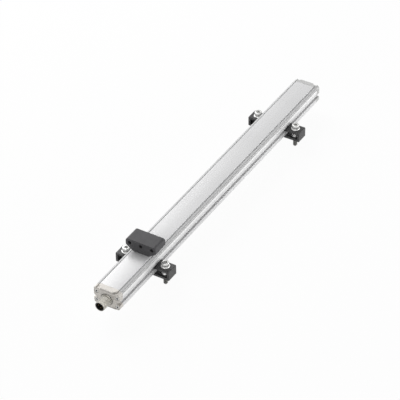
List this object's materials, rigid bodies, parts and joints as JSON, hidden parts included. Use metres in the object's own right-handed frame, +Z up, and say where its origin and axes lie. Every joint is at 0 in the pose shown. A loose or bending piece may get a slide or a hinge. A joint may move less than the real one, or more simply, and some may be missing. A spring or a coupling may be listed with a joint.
{
  "type": "magnetostrictive position sensor",
  "caption": "Profile-housing linear position sensor with an end connector, a floating magnet block over the rail and clamps that slide in its side slots.",
  "frame": {"origin": "centre of the four mounting screws on the plane of the clamp feet", "axes": "+X along the housing from the connector end to the blank end, +Z up away from the mounting surface, +Y to the left of the housing seen from the connector"},
  "size_m": [0.455, 0.068, 0.0523],
  "materials": {
    "anodised_housing": "clear anodised extrusion, satin",
    "cast_cap": "die cast and tumbled, fine matt",
    "black_rubber": "moulded",
    "stainless_screw": "turned",
    "stainless_washer": "stamped and tumbled",
    "nickel_plated_brass": "nickel plated, turned",
    "connector_plastic": "moulded",
    "gold_plated_pin": "gold plated",
    "circuit_laminate": "solder mask",
    "component_black": "moulded packages",
    "carrier_plastic": "extruded",
    "waveguide_alloy": "drawn wire",
    "tube_plastic": "drawn tube",
    "copper_wire": "enamelled",
    "grommet_rubber": "moulded",
    "bobbin_plastic": "moulded",
    "magnet_plastic": "moulded, fine grain",
    "magnet_core": "pressed ferrite",
    "black_clamp": "black anodised extrusion"
  },
  "bodies": {
    "sensor": {"profile_housing": "anodised_housing", "connector_end_cap": "cast_cap", "blank_end_cap": "cast_cap", "connector_end_gasket": "black_rubber", "blank_end_gasket": "black_rubber", "connector_shell": "nickel_plated_brass", "connector_seal": "black_rubber", "connector_insert": "connector_plastic", "connector_pins": "gold_plated_pin", "socket_board": "circuit_laminate", "circuit_board": "circuit_laminate", "board_components": "component_black", "inner_carrier": "carrier_plastic", "waveguide_wire": "waveguide_alloy", "waveguide_tube": "tube_plastic", "return_wire": "copper_wire", "tube_grommets": "grommet_rubber", "coil_bobbin": "bobbin_plastic", "pickup_coil": "copper_wire", "damping_sleeve": "grommet_rubber"},
    "magnet": {"magnet_block": "magnet_plastic", "magnet_cover": "magnet_plastic", "magnet_cores": "magnet_core"},
    "clamp_near_right_set": {"clamp_near_right": "black_clamp", "washer_near_right": "stainless_washer", "mounting_screw_near_right": "stainless_screw"},
    "clamp_near_left_set": {"clamp_near_left": "black_clamp", "washer_near_left": "stainless_washer", "mounting_screw_near_left": "stainless_screw"},
    "clamp_far_right_set": {"clamp_far_right": "black_clamp", "washer_far_right": "stainless_washer", "mounting_screw_far_right": "stainless_screw"},
    "clamp_far_left_set": {"clamp_far_left": "black_clamp", "washer_far_left": "stainless_washer", "mounting_screw_far_left": "stainless_screw"}
  },
  "joints": [
    {"name": "magnet_slide", "type": "slide", "parent": "sensor", "child": "magnet", "axis": [1, 0, 0], "range_m": [0, 0.3]},
    {"name": "clamp_slide_near_right", "type": "slide", "parent": "sensor", "child": "clamp_near_right_set", "axis": [1, 0, 0], "range_m": [-0.055, 0.13]},
    {"name": "clamp_slide_near_left", "type": "slide", "parent": "sensor", "child": "clamp_near_left_set", "axis": [1, 0, 0], "range_m": [-0.055, 0.13]},
    {"name": "clamp_slide_far_right", "type": "slide", "parent": "sensor", "child": "clamp_far_right_set", "axis": [1, 0, 0], "range_m": [-0.13, 0.05]},
    {"name": "clamp_slide_far_left", "type": "slide", "parent": "sensor", "child": "clamp_far_left_set", "axis": [1, 0, 0], "range_m": [-0.13, 0.05]}
  ]
}
